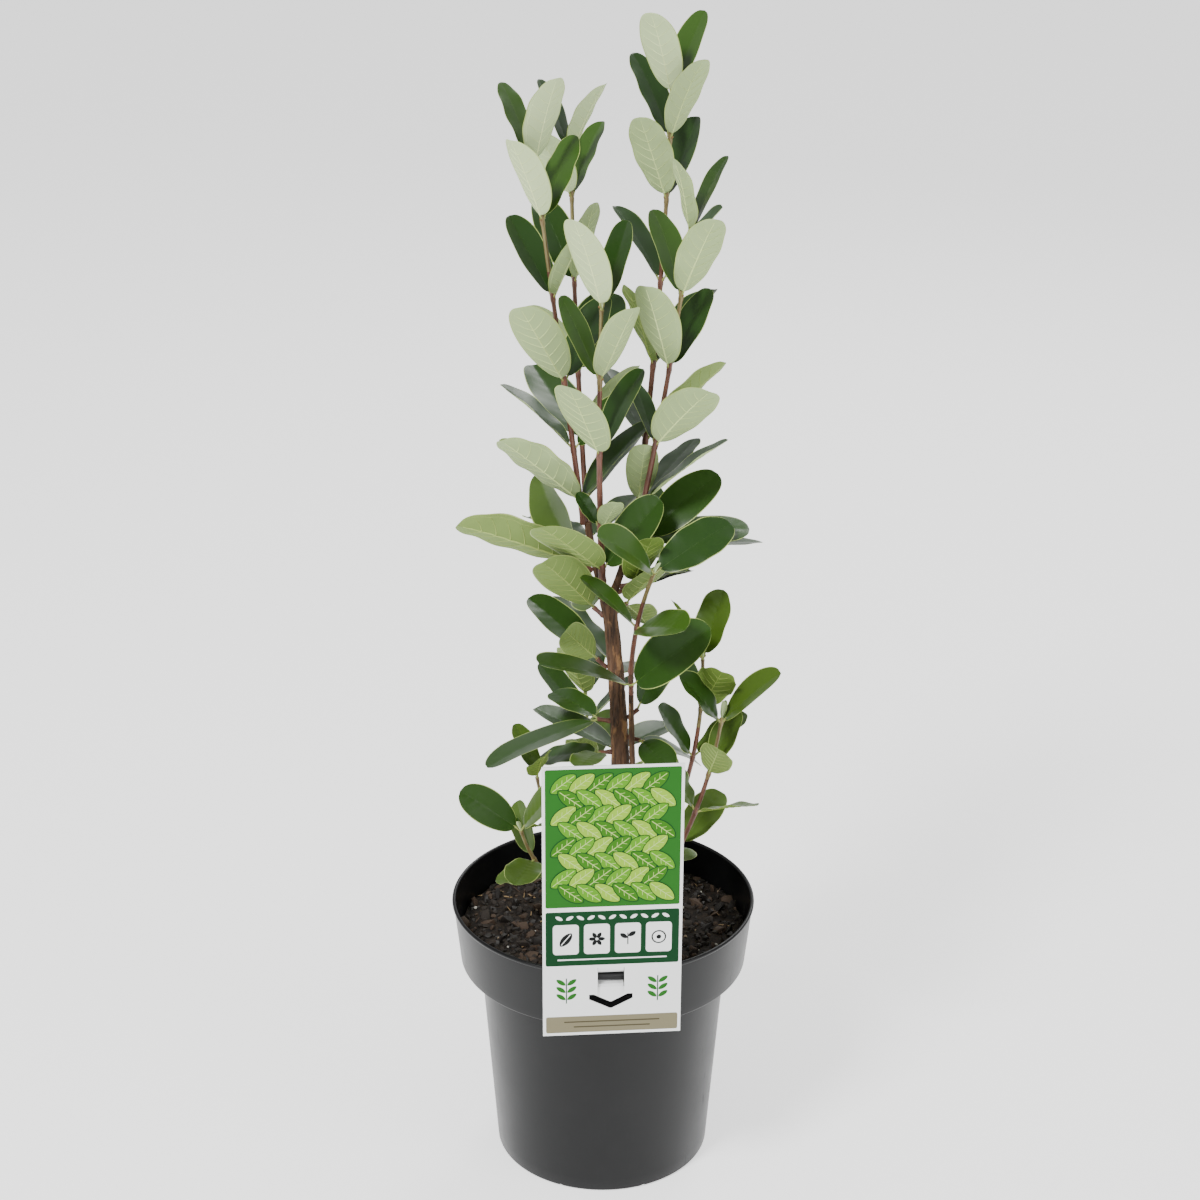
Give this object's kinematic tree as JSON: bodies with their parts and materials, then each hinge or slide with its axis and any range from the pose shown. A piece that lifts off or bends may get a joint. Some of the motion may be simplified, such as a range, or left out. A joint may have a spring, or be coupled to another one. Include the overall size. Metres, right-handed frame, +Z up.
{
  "type": "potted pineapple guava",
  "caption": "Young pineapple guava bush with opposite oval leaves, dark above and pale beneath, on upright stems in a round black nursery pot with a hanging label.",
  "frame": {"origin": "middle of the pot's flat underside, at floor level", "axes": "+Z up along the pot's axis, -Y towards the front where the label hangs, +X to the right seen from the front"},
  "size_m": [0.209, 0.2069, 0.7525],
  "materials": {
    "pot": "satin black moulded plastic with fine scuffs",
    "soil": "dark loose bark mix with pale specks",
    "label": "smooth printed card-like plastic",
    "bark": "brown bark with fissures and tan flakes",
    "foliage": "glossy dark green above, matt silvery green beneath"
  },
  "bodies": {
    "root": {"base_back_shoot": "foliage", "base_front_right_shoot": "foliage", "base_left_shoot": "foliage", "base_left_sprig": "foliage", "base_right_shoot": "foliage", "label": "label", "leader_bough": "bark", "leader_shoot": "foliage", "left_bough": "bark", "left_inner_shoot": "foliage", "left_outer_shoot": "foliage", "left_spur_back": "foliage", "left_spur_low": "foliage", "pot": "pot", "right_back_shoot": "foliage", "right_bough": "bark", "right_front_shoot": "foliage", "right_spur_back": "foliage", "right_spur_high": "foliage", "right_spur_low": "foliage", "right_spur_low_back": "foliage", "second_shoot": "foliage", "second_spur_front": "foliage", "second_stem": "bark", "soil": "soil", "trunk": "bark", "trunk_spur_back": "foliage", "trunk_spur_high_left": "foliage", "trunk_spur_high_right": "foliage", "trunk_spur_left": "foliage", "trunk_spur_low_back": "foliage", "trunk_spur_low_left": "foliage", "trunk_spur_low_right": "foliage", "trunk_spur_mid_left": "foliage", "trunk_spur_right": "foliage"}
  },
  "joints": []
}
